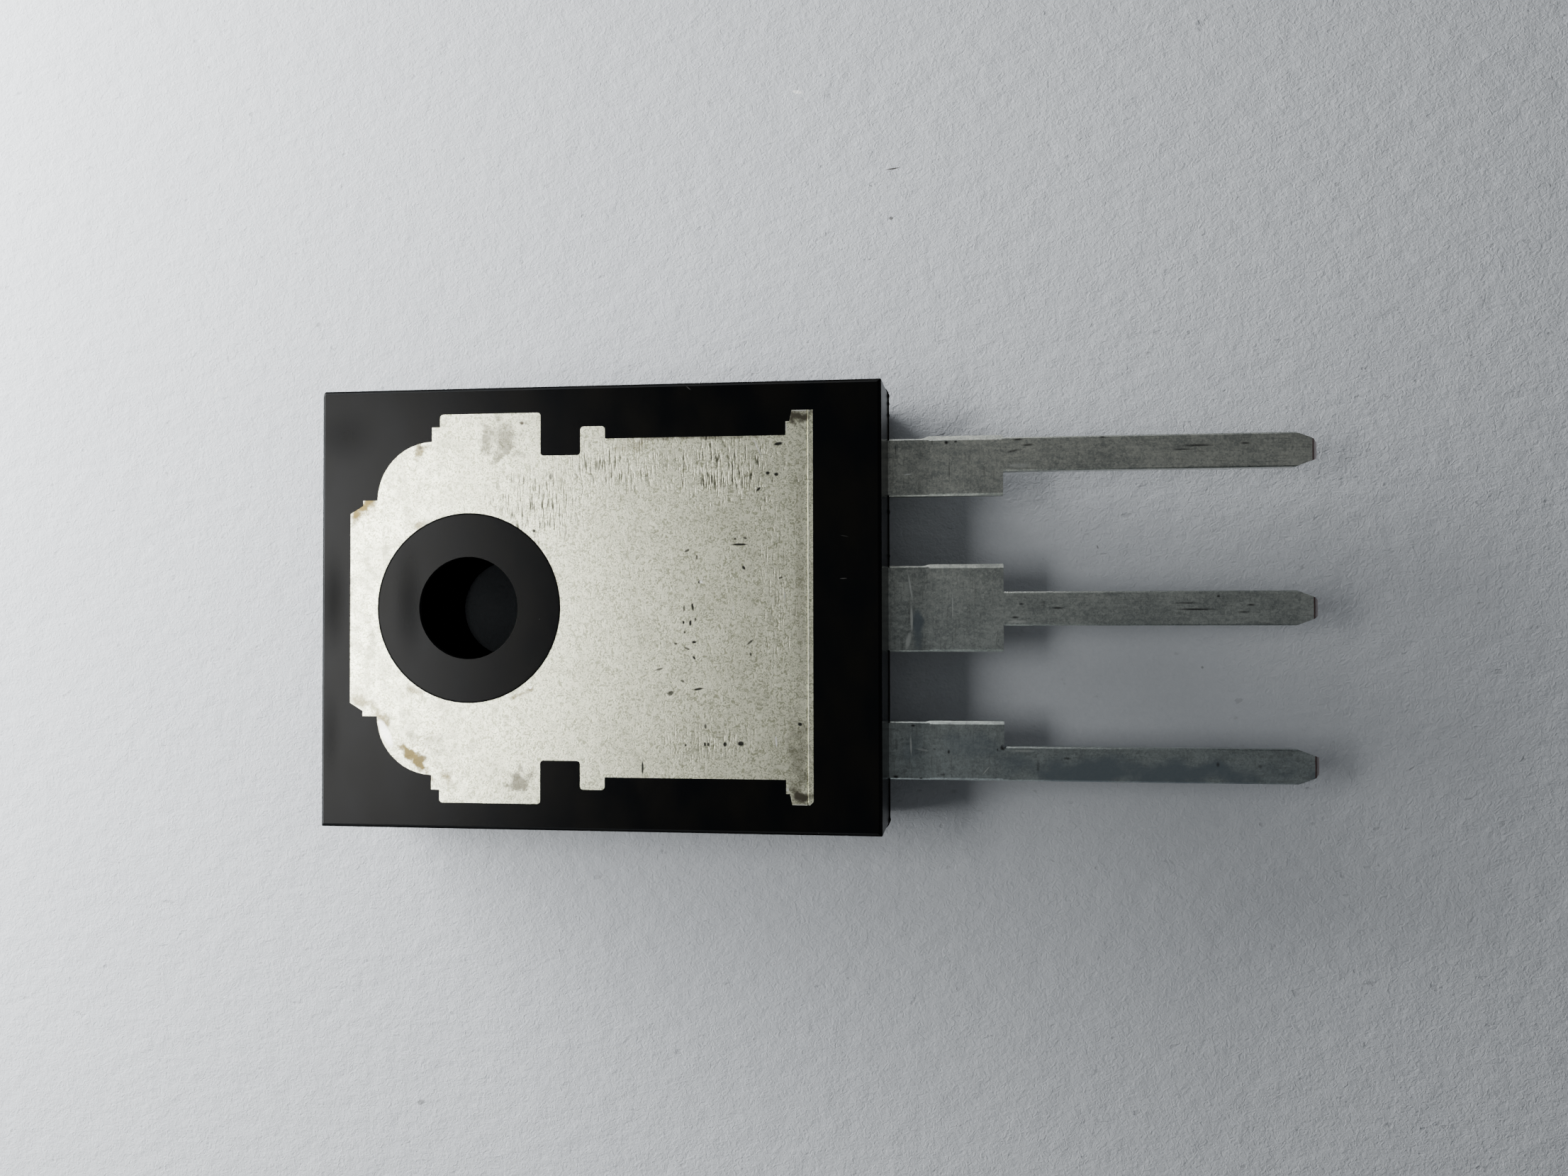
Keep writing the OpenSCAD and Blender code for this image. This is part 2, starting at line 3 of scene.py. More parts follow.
import bpy
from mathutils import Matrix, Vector


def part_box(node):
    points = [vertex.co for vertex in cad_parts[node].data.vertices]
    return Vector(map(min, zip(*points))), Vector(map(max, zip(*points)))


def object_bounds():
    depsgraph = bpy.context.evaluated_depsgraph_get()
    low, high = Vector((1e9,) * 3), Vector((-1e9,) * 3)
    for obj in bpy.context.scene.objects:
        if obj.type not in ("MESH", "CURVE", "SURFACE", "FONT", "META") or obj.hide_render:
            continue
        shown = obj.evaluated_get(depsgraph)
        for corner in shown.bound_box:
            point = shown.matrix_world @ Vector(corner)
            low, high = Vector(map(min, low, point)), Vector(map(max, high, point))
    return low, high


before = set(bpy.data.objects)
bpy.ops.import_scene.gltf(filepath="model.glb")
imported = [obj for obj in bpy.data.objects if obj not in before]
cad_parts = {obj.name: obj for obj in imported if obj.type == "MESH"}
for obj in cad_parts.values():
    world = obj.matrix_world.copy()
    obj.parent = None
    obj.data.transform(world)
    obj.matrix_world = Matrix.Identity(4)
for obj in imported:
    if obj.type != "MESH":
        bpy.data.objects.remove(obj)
cad_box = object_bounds()

# ------------------------------------------------------------------ viewpoint
# The part lies on its front face. It is seen from above its leads, eight degrees off square to the
# heat-sink face.

MM = 0.001

camera = bpy.data.objects.new("camera", bpy.data.cameras.new("camera"))
camera.location = Vector((17.823, -0.276, 48.099)) * MM
camera.rotation_euler = [math.radians(a) for a in (1.082, 7.774, -0.117)]
camera.data.sensor_width = 36
camera.data.lens = 32.55
camera.data.clip_start = 1 * MM
camera.data.clip_end = 5
bpy.context.scene.collection.objects.link(camera)
bpy.context.scene.camera = camera

# ------------------------------------------------------------------ moulded body
# One block of black epoxy moulding compound, cast round the lead frame in a two-part steel mould.
# Its satin skin keeps the mould's faint draw lines, and has a few hair scratches and dull smudges.


def node(tree, kind, inputs=None, **settings):
    """Adds a shader node. Inputs are set, or linked where the value is another node's socket."""
    made = tree.nodes.new(kind)
    for key, value in settings.items():
        setattr(made, key, value)
    for key, value in (inputs or {}).items():
        if isinstance(value, bpy.types.NodeSocket):
            tree.links.new(value, made.inputs[key])
        else:
            made.inputs[key].default_value = value
    return made


def maths(tree, operation, *values):
    """One arithmetic step on numbers or sockets."""
    return node(tree, "ShaderNodeMath", dict(enumerate(values)), operation=operation).outputs[0]


def spread(tree, factor, low, high, start=0.0, end=1.0):
    """Carries a factor from start..end to low..high, held at both ends."""
    return node(tree, "ShaderNodeMapRange", {"Value": factor, "From Min": start, "From Max": end,
                                             "To Min": low, "To Max": high}).outputs["Result"]


def grain(tree, place, size, detail=4.0, stretch=(1, 1, 1), curl=0.0):
    """Noise from 0 to 1 with features of about size millimetres, drawn out by stretch along x, y, z,
    and curled up by curl."""
    scaled = node(tree, "ShaderNodeVectorMath", {0: place, 1: [1 / (size * s) for s in stretch]},
                  operation="MULTIPLY")
    return node(tree, "ShaderNodeTexNoise", {"Vector": scaled.outputs[0], "Scale": 1.0, "Detail": detail,
                                             "Distortion": curl}).outputs["Fac"]


def marks(tree, place, spots, edge=0.5, ragged=None):
    """Ovals on the face, each given as x, y, half length, half width, turn in degrees and strength.
    A mark is full out to edge times its size, and fades to nothing at its outline, which a ragged noise
    roughens. The result is the strongest mark at a point."""
    total = None
    for x, y, length, width, turn, strength in spots:
        turned = node(tree, "ShaderNodeVectorRotate",
                      {"Vector": place, "Center": (x, y, 0), "Angle": -math.radians(turn)},
                      rotation_type="Z_AXIS").outputs[0] if turn else place
        local = node(tree, "ShaderNodeVectorMath",
                     {0: turned, 1: (1 / length, 1 / width, 0), 2: (-x / length, -y / width, 0)},
                     operation="MULTIPLY_ADD").outputs[0]
        away = node(tree, "ShaderNodeVectorMath", {0: local}, operation="LENGTH").outputs["Value"]
        if ragged:
            away = maths(tree, "ADD", away, ragged)
        inside = node(tree, "ShaderNodeMapRange", {"Value": away, 1: edge, 2: 1.0, 3: strength, 4: 0.0},
                      interpolation_type="SMOOTHSTEP", clamp=False).outputs[0]
        total = maths(tree, "MAXIMUM", total, inside) if total else inside
    return total


def tint(tree, factor, under, over):
    """Lays one colour over another by a factor."""
    made = node(tree, "ShaderNodeMix", {"Factor": factor}, data_type="RGBA")
    for socket, value in ((made.inputs[6], under), (made.inputs[7], over)):
        if isinstance(value, bpy.types.NodeSocket):
            tree.links.new(value, socket)
        else:
            socket.default_value = (*value, 1)
    return made.outputs[2]


def finish_of(name, metal):
    """A new material: its tree, its surface shader, and a point's place on the piece in millimetres."""
    material = bpy.data.materials.new(name)
    material.use_nodes = True
    tree = material.node_tree
    shader = tree.nodes["Principled BSDF"]
    shader.inputs["Metallic"].default_value = metal
    place = node(tree, "ShaderNodeVectorMath",
                 {0: node(tree, "ShaderNodeTexCoord").outputs["Object"], "Scale": 1 / MM},
                 operation="SCALE").outputs[0]
    return material, tree, shader, place


def coat(tree, shader, colour, roughness, height, depth):
    """Wires up a finish: its colour, its roughness, and a relief of a given depth in millimetres."""
    bump = node(tree, "ShaderNodeBump", {"Height": height, "Distance": depth * MM})
    tree.links.new(colour, shader.inputs["Base Color"])
    tree.links.new(roughness, shader.inputs["Roughness"])
    tree.links.new(bump.outputs["Normal"], shader.inputs["Normal"])


def dress(name, material):
    """Gives a CAD node its finish."""
    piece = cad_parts[name]
    piece.data.materials.clear()
    piece.data.materials.append(material)


# Hair scratches and flecks on the heat-sink face, and a fleck of flash at the hole's upper right edge painted
# bright as a glint: x, y, half length, half width, turn, strength
EPOXY_HAIRS_AND_GLINT = ((13.34, 2.42, 0.16, 0.014, -10, 0.06), (13.3, 0.97, 0.15, 0.014, 2, 0.16),
               (7.93, 7.6, 0.12, 0.02, -40, 0.12), (12.43, -7.7, 0.03, 0.02, 0, 0.2),
               (0.98, 1.43, 0.08, 0.05, 30, 1), (-0.9, -1.5, 0.1, 0.03, -30, 0.5),
               (2.6, -0.4, 0.04, 0.008, 60, 0.2))
# Smudges that dull its sheen
EPOXY_SMUDGES = ((-5, 0.3, 0.7, 2.4, 0, 0.5), (-2.2, 0.3, 0.75, 2.6, 0, 0.45),
                 (-5.1, -4.5, 0.5, 2.2, 0, 0.3), (-4.6, 6.2, 1.6, 1.3, 0, 0.3))
# Edges of the heat-sink face and of the ring round the hole, where a darker rim runs
FACE_END, FACE_HALF, RING_R = -5.47, 7.78, 3.36
# How far inside an edge that rim starts and is full, and the level on the walls where it begins to fade
RIM_START, RIM_FULL, RIM_END = -0.075, -0.045, -0.2
# Radii between which the hole's dull wall gives way to the face
BORE_R, BORE_RIM_R = 1.85, 1.95


def epoxy_finish():
    """Black moulding compound: a satin skin with a fine grain, a dark rim, hair scratches, a painted glint at
    the hole's edge and a dull bore.
    """
    material, tree, shader, place = finish_of("moulded_epoxy", 0.0)
    clouds = grain(tree, place, 1.3, detail=3, stretch=(1, 1.8, 1))
    draw = grain(tree, place, 0.09, detail=2, stretch=(1, 9, 1))
    skin = grain(tree, place, 0.06, detail=2)
    hairs_and_glint = marks(tree, place, EPOXY_HAIRS_AND_GLINT)
    black = tint(tree, spread(tree, clouds, 0, 1, 0.35, 0.65), (0.0010, 0.0013, 0.0017),
                 (0.0024, 0.0023, 0.0019))
    level = maths(tree, "ADD", clouds, maths(tree, "MULTIPLY", draw, 0.2))
    rough = spread(tree, level, 0.236, 0.272, 0.4, 0.8)
    axes = node(tree, "ShaderNodeSeparateXYZ", {0: place}).outputs
    flat = node(tree, "ShaderNodeCombineXYZ", {"X": axes["X"], "Y": axes["Y"]}).outputs[0]
    radius = node(tree, "ShaderNodeVectorMath", {0: flat}, operation="LENGTH").outputs["Value"]
    ring = maths(tree, "MULTIPLY", maths(tree, "ABSOLUTE", maths(tree, "SUBTRACT", radius, RING_R)), -1)
    outward = maths(tree, "MAXIMUM",
                    maths(tree, "SUBTRACT", maths(tree, "ABSOLUTE", axes["Y"]), FACE_HALF),
                    maths(tree, "SUBTRACT", FACE_END, axes["X"]))
    rim = maths(tree, "MINIMUM", maths(tree, "MAXIMUM", outward, ring),
                spread(tree, axes["Z"], -1, 0, 2 * RIM_END, RIM_END))
    shine = spread(tree, rim, 0.085, 0.015, RIM_START, RIM_FULL)
    bore = maths(tree, "MULTIPLY", spread(tree, axes["Z"], 1, 0, -0.3, -0.03),
                 spread(tree, radius, 1, 0, BORE_R, BORE_RIM_R))
    smudges = marks(tree, place, EPOXY_SMUDGES, 0.0, spread(tree, clouds, -0.3, 0.3))
    dulled = maths(tree, "MAXIMUM", bore, smudges)
    shine = maths(tree, "MULTIPLY", shine, maths(tree, "SUBTRACT", 1.0, dulled))
    tree.links.new(shine, shader.inputs["Specular IOR Level"])
    # Hair scratches, and a painted glint on the flash at the hole's edge
    coat(tree, shader, tint(tree, hairs_and_glint, black, (0.3, 0.3, 0.29)), rough, skin, 0.0012)
    return material


dress("moulded_body", epoxy_finish())

# ------------------------------------------------------------------ heat-sink tab
# Thick half of a dual-gauge copper strip, stamped to shape and plated with matt tin.
# The middle lead is its thin half, so one piece shows the bright plate and the duller lead.

# Stains and marks on the plating: x, y, half length, half width, turn, strength
BROWN_STAINS = ((-3.95, 3.62, 0.75, 0.5, 30, 1), (-3.3, -3.9, 0.35, 0.6, 40, 0.8),
                (-0.95, -5.9, 0.5, 0.25, -30, 0.8), (-1.83, 5.55, 0.4, 0.22, 40, 0.8),
                (-1.83, 2.94, 0.32, 0.16, 40, 0.7), (-1.95, -5.25, 1.05, 0.36, -42, 1),
                (-4, -3.25, 0.5, 0.3, -20, 0.6), (-1.9, -2.95, 0.5, 0.18, -40, 0.6),
                (1.9, -3.05, 0.7, 0.12, 25, 0.75), (5.9, 5.6, 0.6, 0.25, 0, 0.4))
GREY_STAINS = ((1.2, 5.9, 0.95, 0.9, 20, 0.7), (1.95, 6.5, 0.09, 0.07, 0, 1),
               (2.05, 5.75, 0.06, 0.05, 0, 0.9), (1.9, -6.1, 0.5, 0.7, -8, 0.8),
               (-1.6, -4.9, 1, 0.7, -40, 0.3), (2.15, -6.38, 0.06, 0.05, 0, 1),
               (8.4, 5.88, 2.9, 0.12, 0, 0.7), (11.8, 6.52, 0.6, 0.42, 0, 1),
               (11.8, -6.52, 0.6, 0.4, 0, 1), (11.82, 0.5, 0.3, 7, 0, 0.25),
               (11.75, -5.2, 0.5, 2.2, 0, 0.5), (-1.78, 5.69, 0.07, 0.07, 0, 1),
               (-4.45, 0.6, 0.14, 2.6, 0, 0.4), (-3.6, -1.2, 0.2, 1.6, 8, 0.35))
DARK_PITS = ((11.07, 5.61, 0.2, 0.075, 10, 1), (10.7, 4.61, 0.09, 0.075, 0, 1),
             (11, 4.56, 0.1, 0.075, 0, 1), (10.38, 4.06, 0.12, 0.06, 40, 1),
             (8.27, -2.82, 0.22, 0.05, 8, 1), (9.71, 2.16, 0.38, 0.05, 0, 1),
             (9.86, 1.36, 0.11, 0.06, -50, 1), (7.82, -4.75, 0.05, 0.06, 0, 1),
             (8.5, -4.72, 0.05, 0.1, 0, 1), (8.62, -4.72, 0.05, 0.1, 0, 1),
             (9.2, -4.71, 0.09, 0.11, 0, 1), (9.75, -4.68, 0.15, 0.11, 0, 1),
             (8.52, -4.1, 0.06, 0.11, 0, 0.85), (11.8, -4, 0.1, 0.075, 0, 1),
             (6.3, -5.55, 0.05, 0.3, 0, 1), (2.4, 2.7, 0.075, 0.075, 0, 1),
             (3, 4.6, 0.06, 0.15, 0, 0.85), (7.77, -0.03, 0.05, 0.15, 0, 0.85),
             (8.07, 0.02, 0.05, 0.18, 10, 1), (7.75, -0.52, 0.05, 0.075, 0, 1),
             (7.99, -0.54, 0.06, 0.14, 0, 1), (8.17, -0.42, 0.05, 0.075, 0, 0.85),
             (7.79, -0.86, 0.05, 0.06, 0, 0.85), (8.12, -1.2, 0.11, 0.06, 0, 1),
             (7.47, -1.25, 0.09, 0.05, -20, 0.85), (7.87, -1.42, 0.15, 0.05, -20, 0.85),
             (8.12, -1.74, 0.1, 0.05, -50, 1), (6.89, -2.14, 0.18, 0.05, 15, 0.85),
             (7.72, -2.55, 0.09, 0.06, -20, 0.85), (7.29, -2.97, 0.15, 0.11, 20, 0.85),
             (7.87, 1.96, 0.12, 0.06, 30, 0.85), (8.22, 1.73, 0.05, 0.1, 0, 0.85),
             (8.32, 0.88, 0.09, 0.06, 20, 1), (9.91, 2.38, 0.09, 0.05, -20, 0.85),
             (11.14, 1.01, 0.1, 0.05, 20, 0.85), (10.08, -1.2, 0.18, 0.05, 40, 0.85),
             (10.1, -1.62, 0.05, 0.09, 20, 0.85), (9.56, 2.36, 0.06, 0.05, 0, 0.85))
# Bright hair scratches, with painted glints on the metal edge at the ring's lower right and painted
# highlights in thin lines along the flange's edges
BRIGHT_HAIRS_AND_GLINTS = ((10.34, 5.5, 0.42, 0.022, -65, 0.9), (10.98, -4.6, 0.23, 0.035, -85, 1),
                (8.37, 0.88, 0.07, 0.06, 0, 1), (1.4, -3.07, 0.05, 0.08, 10, 1),
                (2.27, -2.8, 0.06, 0.05, 0, 1), (11.37, -6.24, 0.05, 0.06, 0, 1),
                (12.09, 0, 0.03, 8, 0, 0.7), (-3.05, -4.45, 0.62, 0.2, -64, 0.8),
                (11.85, 6.74, 0.4, 0.025, 0, 0.7), (11.85, -6.75, 0.4, 0.025, 0, 0.7),
                (11.34, 6.2, 0.025, 0.2, 0, 0.7), (11.28, 0.4, 0.03, 0.15, 0, 0.6),
                (9.49, -0.08, 0.03, 0.2, 0, 0.4))
# Fine dashes that the strip's rollers combed across it
COMBED = ((9.1, 4.8, 2.6, 1.6, 0, 1), (2.6, 3.6, 2.2, 1.6, 0, 1), (5.2, 4.9, 3.2, 1.1, 0, 0.8),
          (8.6, -4.7, 2.2, 0.9, 0, 0.45), (11, 0.5, 0.9, 5, 0, 0.4))
# Along x: where the plating turns duller under the moulding, where the shoulder becomes the shank, and where
# the sheared tip's dark edge begins, copper painted in shade where it rolls over, with the length to its bare
# copper, painted lighter as the lit end face
DULL_START, DULL_END = 12.6, 13.0
SHOULDER_END, SHANK_START = 18.6, 18.8
TIP_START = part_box("anode_lead_a")[1].x / MM - 0.29
TIP_EDGE = 0.15
# Dirt pressed into the leads, with painted shade in the nick at lead b's inner shoulder corner, then darker
# clouds on the plating, and scuffs of brighter metal
LEAD_MARKS = ((16.85, 4.85, 0.03, 0.6, 0, 0.5), (16.75, 5.83, 0.1, 0.1, 0, 1),
              (17.08, 5.86, 0.08, 0.06, 0, 0.9), (14.95, 5.6, 0.03, 0.3, 0, 0.6),
              (16.25, 5.86, 0.04, 0.16, 0, 0.6), (19.6, 5.7, 0.3, 0.06, 4, 0.8),
              (19.1, 5.5, 0.35, 0.06, 12, 0.65), (22.18, 5.93, 0.12, 0.06, 0, 0.8),
              (25.4, 5.58, 0.75, 0.06, 0, 0.8), (27, 5.63, 0.25, 0.06, 0, 0.75),
              (19.13, -0.37, 0.19, 0.06, 0, 0.8), (20.6, -0.04, 0.3, 0.06, 0, 0.85),
              (20.1, 0.12, 0.1, 0.16, 0, 0.35), (25.3, -0.1, 0.9, 0.05, 0, 0.95),
              (26.06, 0.35, 0.08, 0.06, 0, 0.9), (27.15, 0.05, 0.2, 0.06, 0, 0.8),
              (26.9, -0.2, 0.3, 0.06, 0, 0.65), (15.54, -4.2, 0.11, 0.06, 0, 1),
              (14.93, -6.02, 0.15, 0.09, 0, 1), (15.81, -6.06, 0.09, 0.05, 0, 0.9),
              (16.79, -5.12, 0.07, 0.1, 0, 0.9), (16.6, -5.92, 0.12, 0.06, 0, 0.5),
              (16.3, -5.02, 0.08, 0.05, 0, 0.5), (18.5, -5.02, 0.04, 0.07, 0, 0.8),
              (18.68, -4.95, 0.13, 0.14, 0, 1), (26, -5.45, 0.08, 0.12, 0, 0.7),
              (19.9, -5.6, 0.08, 0.3, 0, 0.5), (20.9, -5.3, 0.2, 0.06, 0, 0.65),
              (14.95, -4.9, 0.08, 0.3, 0, 0.4), (27.4, -5.5, 0.1, 0.08, 0, 0.5),
              (24.9, 5.45, 0.5, 0.04, 0, 0.7), (25, 0.12, 0.6, 0.04, 0, 0.7),
              (19.25, 5.9, 0.25, 0.06, 0, 0.8), (19.35, 0.1, 0.12, 0.05, 0, 0.8))
DARK_CLOUD = ((24.2, -5.72, 6.5, 0.6, 0, 0.9), (19.3, -5.5, 0.9, 0.3, 0, 0.4),
              (15.72, -0.6, 0.24, 0.75, 0, 0.9), (15.5, -5, 0.6, 0.9, 0, 0.5),
              (17.4, -4.9, 1.1, 0.6, 0, 0.5))
SCUFFS = ((15.46, 0.72, 0.62, 0.045, 99, 0.8), (15.5, -0.4, 0.6, 0.06, 91, 0.8),
          (15.38, -1.2, 0.4, 0.11, 78, 0.7), (15.38, 4.72, 0.17, 0.03, 8, 1),
          (15.46, -4.9, 0.42, 0.045, 92, 0.7), (15.85, -5.05, 0.3, 0.05, -10, 0.4),
          (18.1, -5.75, 0.25, 0.03, 50, 0.5), (16.95, 0.05, 0.55, 0.03, 90, 0.4),
          (19.4, -5.05, 0.5, 0.06, 0, 0.3), (19.2, -0.52, 0.4, 0.06, 0, 0.5),
          (19.3, 4.98, 0.5, 0.1, 0, 0.4))


def lead_tone(tree, place, low, high):
    """Colour, roughness and relief of the lead whose y lies between low and high: grey-green plating, painted
    lighter and warmer towards +y as light falling from that side, cloudy, drawn across the shoulder and along
    the shank, with its own pressed-in grime and scuffs, painted shade in the nick at lead b's inner shoulder
    corner, and a sheared copper tip whose rolled edge is painted in shade and whose end face is painted
    lighter as lit."""
    dirt_and_nick_shade, clouds, scuffs = ([spot for spot in spots if low < spot[1] < high]
                            for spots in (LEAD_MARKS, DARK_CLOUD, SCUFFS))
    axes = node(tree, "ShaderNodeSeparateXYZ", {0: place}).outputs
    smudge = grain(tree, place, 0.2, detail=5, stretch=(3, 1, 1))
    fine = grain(tree, place, 0.09, detail=3, curl=1.0)
    cloud = grain(tree, place, 0.9, detail=4, stretch=(1.5, 1, 1))
    along = grain(tree, place, 0.05, detail=3, stretch=(14, 1, 1))
    across = grain(tree, place, 0.07, detail=3, stretch=(1, 12, 1))
    # Painted light: the plating is painted lighter and warmer towards +y, where more light falls on the
    # leads.
    painted_side_light = spread(tree, axes["Y"], 0, 1, -5.5, 5.4)
    tone = tint(tree, painted_side_light, (0.44, 0.49, 0.49), (0.66, 0.67, 0.60))
    shade = maths(tree, "ADD", maths(tree, "MULTIPLY", smudge, 0.25), maths(tree, "MULTIPLY", fine, 0.5))
    shade = maths(tree, "ADD", shade, maths(tree, "MULTIPLY", cloud, 0.25))
    tone = tint(tree, spread(tree, shade, 0.75, 0, 0.4, 0.6), tone, (0.20, 0.22, 0.22))
    shoulder = spread(tree, axes["X"], 1, 0, SHOULDER_END, SHANK_START)
    streak = node(tree, "ShaderNodeMix", {"Factor": shoulder, "A": along, "B": across}).outputs[0]
    tone = tint(tree, spread(tree, streak, 0.35, 0, 0.3, 0.44), tone, (0.16, 0.16, 0.15))
    patchy = spread(tree, cloud, -0.5, 0.5, 0.3, 0.7)
    if clouds:
        tone = tint(tree, marks(tree, place, clouds, 0.3, patchy), tone, (0.22, 0.26, 0.29))
    tone = tint(tree, marks(tree, place, scuffs, 0.4), tone, (0.85, 0.88, 0.84))
    # Dark marks: pressed-in grime, and painted shade in the nick at lead b's inner shoulder corner.
    tone = tint(tree, marks(tree, place, dirt_and_nick_shade, 0.2), tone, (0.05, 0.05, 0.05))
    # Painted shade and light at the sheared tip: copper painted dark as shade on the rolled-over edge, then
    # bare copper painted lighter as the lit end face.
    tip = spread(tree, axes["X"], 0, 1, TIP_START, TIP_START + 0.05)
    tone = tint(tree, tip, tone, (0.07, 0.03, 0.025))
    lit_copper_end = spread(tree, axes["X"], 0, 1, TIP_START + TIP_EDGE, TIP_START + TIP_EDGE + 0.02)
    tone = tint(tree, lit_copper_end, tone, (0.30, 0.22, 0.21))
    return tone, spread(tree, smudge, 0.34, 0.27, 0.3, 0.7), fine


def tab_finish():
    """Matt tin over the tab, crystalline, combed across and stained, with painted glints at the ring's edge
    and painted highlights along the flange's edges; the middle lead's finish past it.
    """
    material, tree, shader, place = finish_of("tab_tin", 1.0)
    crystals = grain(tree, place, 0.12, detail=2, curl=2.0)
    mottle = grain(tree, place, 0.4, detail=5)
    patchy = grain(tree, place, 1.3, detail=4, stretch=(1, 1.4, 1))
    brushed = grain(tree, place, 0.075, detail=2, stretch=(1, 9, 1))
    axes = node(tree, "ShaderNodeSeparateXYZ", {0: place}).outputs
    ragged = spread(tree, mottle, -0.55, 0.55, 0.3, 0.7)
    light = tint(tree, spread(tree, crystals, 0, 1, 0.39, 0.54), (0.43, 0.44, 0.30), (1.0, 1.0, 0.78))
    cloudy = spread(tree, axes["X"], 1.0, 0.35, -3.0, 3.0)
    blotch = maths(tree, "ADD", spread(tree, mottle, 0.4, 0, 0.36, 0.54),
                   spread(tree, patchy, 0.5, 0, 0.34, 0.54))
    light = tint(tree, maths(tree, "MULTIPLY", blotch, cloudy), light, (0.40, 0.40, 0.30))
    combed = maths(tree, "MULTIPLY", spread(tree, brushed, 1.0, 0, 0.38, 0.5),
                   marks(tree, place, COMBED, 0.1, ragged))
    light = tint(tree, combed, light, (0.09, 0.09, 0.065))
    light = tint(tree, marks(tree, place, BROWN_STAINS, 0.2, ragged), light, (0.13, 0.10, 0.04))
    light = tint(tree, marks(tree, place, GREY_STAINS, 0.2, ragged), light, (0.11, 0.10, 0.075))
    light = tint(tree, marks(tree, place, DARK_PITS, 0.5), light, (0.04, 0.04, 0.035))
    # Bright hair scratches, painted glints and painted edge highlights
    light = tint(tree, marks(tree, place, BRIGHT_HAIRS_AND_GLINTS, 0.6), light, (1.0, 1.0, 0.95))
    lead = spread(tree, axes["X"], 0, 1, DULL_START, DULL_END)
    tone, dull_rough, fine = lead_tone(tree, place, -2, 2)
    bright_rough = spread(tree, mottle, 0.35, 0.30, 0.3, 0.7)
    rough = node(tree, "ShaderNodeMix", {"Factor": lead, "A": bright_rough, "B": dull_rough}).outputs[0]
    height = maths(tree, "SUBTRACT", crystals, combed)
    coat(tree, shader, tint(tree, lead, light, tone), rough, height, 0.004)
    return material


dress("heat_sink_tab", tab_finish())

# ------------------------------------------------------------------ outer leads
# Stamped from the thin half of the strip, plated like the tab and dulled to a grey-green.
# The sheared tips show the copper core, and handling has left dark smudges.


def lead_finish(side, low, high):
    """The outer lead's dull plating over a faint relief."""
    material, tree, shader, place = finish_of("lead_tin_" + side, 1.0)
    tone, rough, fine = lead_tone(tree, place, low, high)
    coat(tree, shader, tone, rough, fine, 0.003)
    return material


dress("anode_lead_a", lead_finish("a", 2, 9))
dress("anode_lead_b", lead_finish("b", -9, -2))

# ------------------------------------------------------------------ solder layers
# A thin layer of soft solder under each die, melted between the die and the tab.
# It carries the current and the heat, and shows a little past the die's edges.


def inner_finish(name, light, dark, rough, size):
    """A plain metallic skin, clouded between two tones over patches of a given size."""
    material, tree, shader, place = finish_of(name, 1.0)
    cloud = grain(tree, place, size)
    tone = tint(tree, spread(tree, cloud, 0, 1, 0.35, 0.65), dark, light)
    coat(tree, shader, tone, spread(tree, cloud, rough + 0.06, rough - 0.06, 0.3, 0.7), cloud, 0.004)
    return material


solder_finish = inner_finish("soft_solder", (0.55, 0.56, 0.58), (0.40, 0.41, 0.43), 0.35, 0.2)
for side in "ab":
    dress("die_solder_" + side, solder_finish)

# ------------------------------------------------------------------ dice
# Two square chips of sawn silicon, one for each diode, metallised on both faces.
# Each lies on its solder at one side of the tab, and the body is cast over it.

die_finish = inner_finish("silicon", (0.20, 0.22, 0.27), (0.14, 0.15, 0.19), 0.2, 0.8)
for side in "ab":
    dress("diode_die_" + side, die_finish)

# ------------------------------------------------------------------ bond wires
# Drawn aluminium wire, two loops from each die to the post of its outer lead.
# Both ends of a wire are pressed flat by the bonding tool.

wire_finish = inner_finish("bond_wire", (0.85, 0.86, 0.88), (0.75, 0.76, 0.78), 0.3, 0.1)
for side in "ab":
    for wire in "12":
        dress("bond_wire_" + side + wire, wire_finish)

# ------------------------------------------------------------------ floor
# A sheet of plain off-white paper, larger than the view, on which the part lies.
# Its surface is lightly felted and cockled, with a few fibres and specks in it.

FLOOR_HALF = 0.4
# Fibres and specks in the paper: x, y, half length, half width, turn, strength
FLOOR_SPECKS = ((14.75, 16.51, 0.33, 0.035, 8, 1), (14.67, 14.64, 0.1, 0.09, 0, 0.8),
                (-8.08, 11.3, 0.14, 0.1, 30, 0.4), (-3.71, -19.19, 0.2, 0.12, 20, 0.5),
                (22.2, 2.2, 0.04, 0.09, 15, 0.6), (25.9, -2.2, 0.06, 0.06, 0, 0.5),
                (13.9, 15.9, 0.1, 0.03, -30, 0.6), (-14.5, 5.5, 0.1, 0.06, 0, 0.3))
FLOOR_FLECKS = ((11.13, 19.6, 0.24, 0.08, -12, 0.9), (-12.4, 8.8, 0.2, 0.05, 60, 0.5))


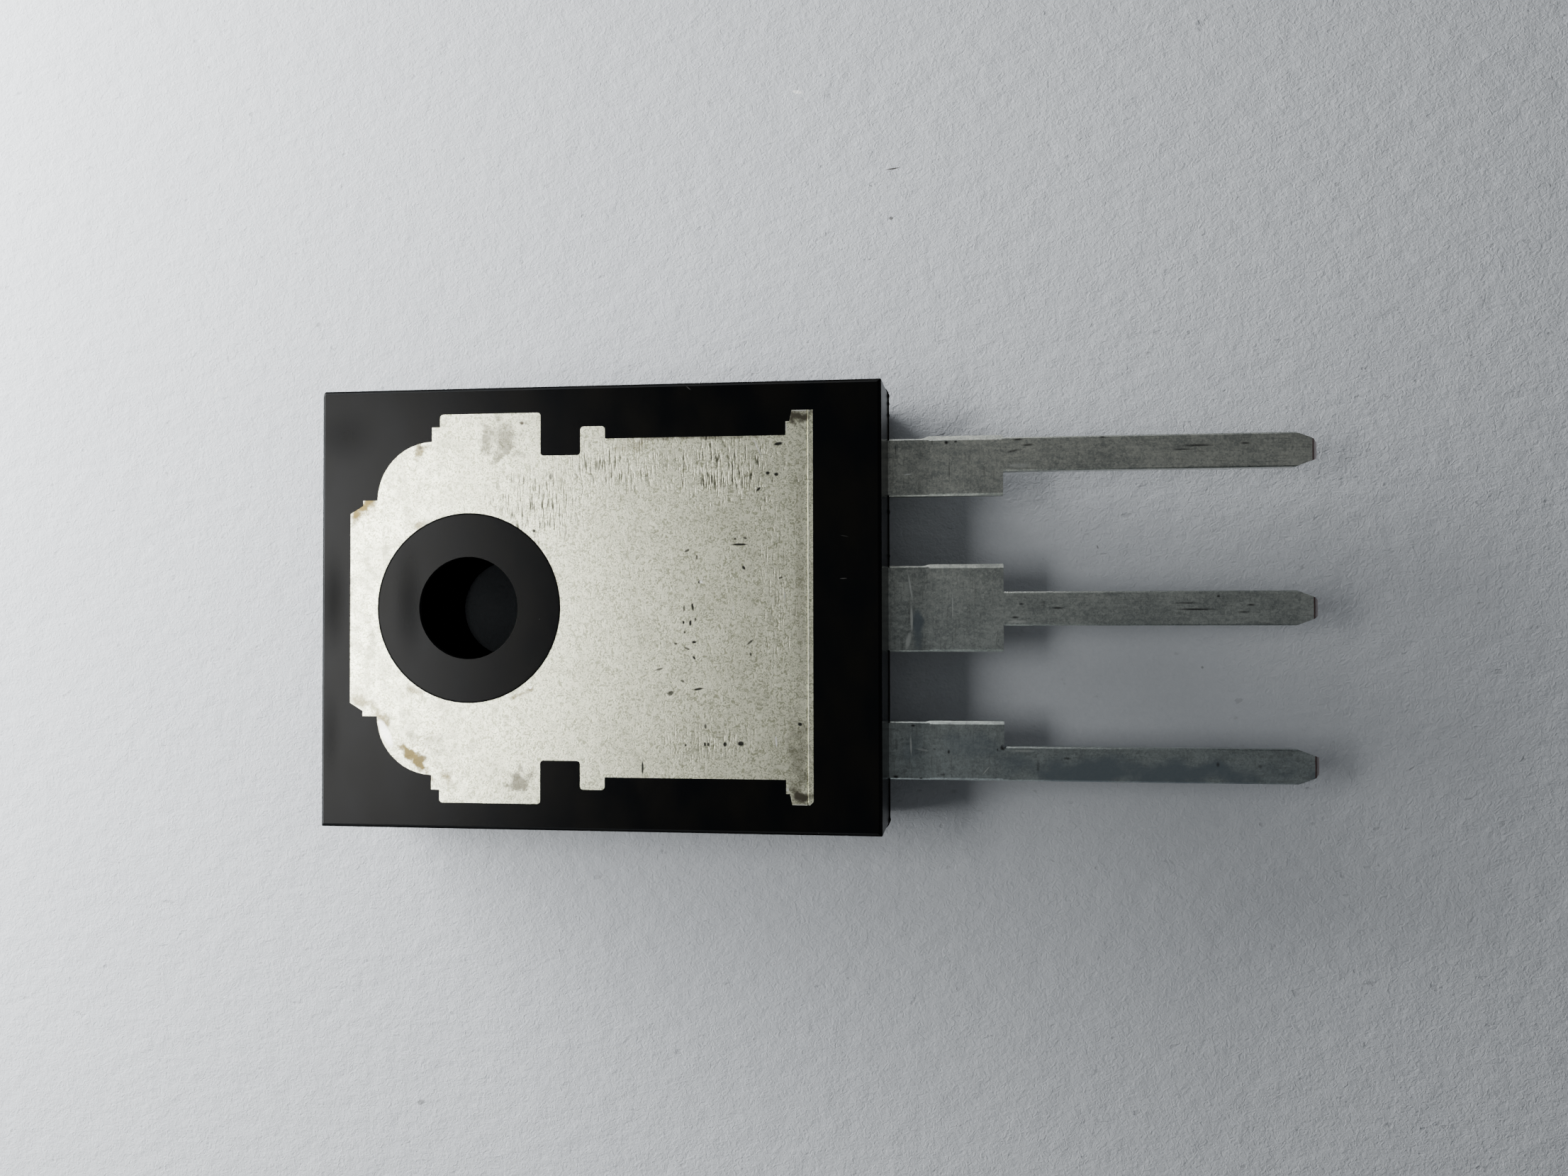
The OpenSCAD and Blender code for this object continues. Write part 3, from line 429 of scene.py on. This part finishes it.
def pale_floor():
    """Off-white paper: a fine felted relief with wider cockles, rare dimples, fibres and specks."""
    material, tree, shader, place = finish_of("pale_paper", 0.0)
    felt = grain(tree, place, 0.16, detail=3, curl=1.2)
    press = grain(tree, place, 0.6, detail=5, stretch=(1.4, 1, 1))
    wide = grain(tree, place, 5.0, detail=2)
    pores = spread(tree, grain(tree, place, 0.35, detail=2, stretch=(1.6, 1, 1)), 0.35, 0, 0.24, 0.3)
    tone = tint(tree, felt, (0.52, 0.55, 0.59), (0.63, 0.655, 0.69))
    tone = tint(tree, spread(tree, wide, 0.12, 0, 0.3, 0.6), tone, (0.48, 0.50, 0.56))
    tone = tint(tree, pores, tone, (0.30, 0.31, 0.33))
    tone = tint(tree, marks(tree, place, FLOOR_SPECKS), tone, (0.06, 0.055, 0.05))
    tone = tint(tree, marks(tree, place, FLOOR_FLECKS), tone, (0.95, 0.95, 0.93))
    height = maths(tree, "ADD", maths(tree, "MULTIPLY", felt, 0.5), press)
    height = maths(tree, "SUBTRACT", height, maths(tree, "MULTIPLY", pores, 0.5))
    coat(tree, shader, tone, spread(tree, felt, 0.8, 0.9), height, 0.05)
    return material


corners = [(x * FLOOR_HALF, y * FLOOR_HALF, cad_box[0].z) for x, y in ((-1, -1), (1, -1), (1, 1), (-1, 1))]
sheet = bpy.data.meshes.new("floor")
sheet.from_pydata(corners, [], [(0, 1, 2, 3)])
sheet.materials.append(pale_floor())
floor = bpy.data.objects.new("floor", sheet)
bpy.context.scene.collection.objects.link(floor)

# ------------------------------------------------------------------ lamps
# A low window beyond the free end, a lamp with a narrower beam above it, and weak lamps overhead, on
# both long sides and beyond the leads. The room itself gives a faint blue fill.


def lamp(name, place, aim, size, power, colour, beam):
    """A rectangular soft lamp at a place, turned to its aim, in millimetres, with its beam in degrees."""
    data = bpy.data.lights.new(name, "AREA")
    data.shape = "RECTANGLE"
    data.size, data.size_y = (side * MM for side in size)
    data.energy = power
    data.color = colour
    data.spread = math.radians(beam)
    made = bpy.data.objects.new(name, data)
    made.location = Vector(place) * MM
    made.rotation_euler = (Vector(place) - Vector(aim)).to_track_quat("Z", "Y").to_euler()
    bpy.context.scene.collection.objects.link(made)


lamp("window_lamp", (-71, 22, 16), (-52, 12, -5), (110, 26), 0.33, (1.0, 1.0, 0.985), 168)
lamp("key_lamp", (-56, 0, 82), (-42, 0, -5), (50, 44), 0.0295, (1.0, 1.0, 0.985), 85)
lamp("top_lamp", (-28, 77, 53), (-25, 0, -5), (60, 60), 0.0113, (0.97, 0.98, 1.0), 180)
lamp("ceiling_lamp", (31, 4, 112), (31, 0, -5), (80, 86), 0.0038, (0.98, 1.0, 0.99), 180)
lamp("far_edge_lamp", (9, 85, 8), (17, 0, -2), (22, 14), 0.0045, (1.0, 1.0, 0.97), 180)
lamp("near_edge_lamp", (9, -85, 8), (17, 0, -2), (22, 14), 0.002, (0.95, 1.0, 0.98), 180)
lamp("end_lamp", (110, 0, 45), (15, 0, -5), (120, 60), 0.009, (0.97, 0.98, 1.0), 180)

world = bpy.data.worlds.new("studio")
world.use_nodes = True
world.node_tree.nodes["Background"].inputs["Color"].default_value = (0.8, 0.9, 1.0, 1)
world.node_tree.nodes["Background"].inputs["Strength"].default_value = 0.035
bpy.context.scene.world = world
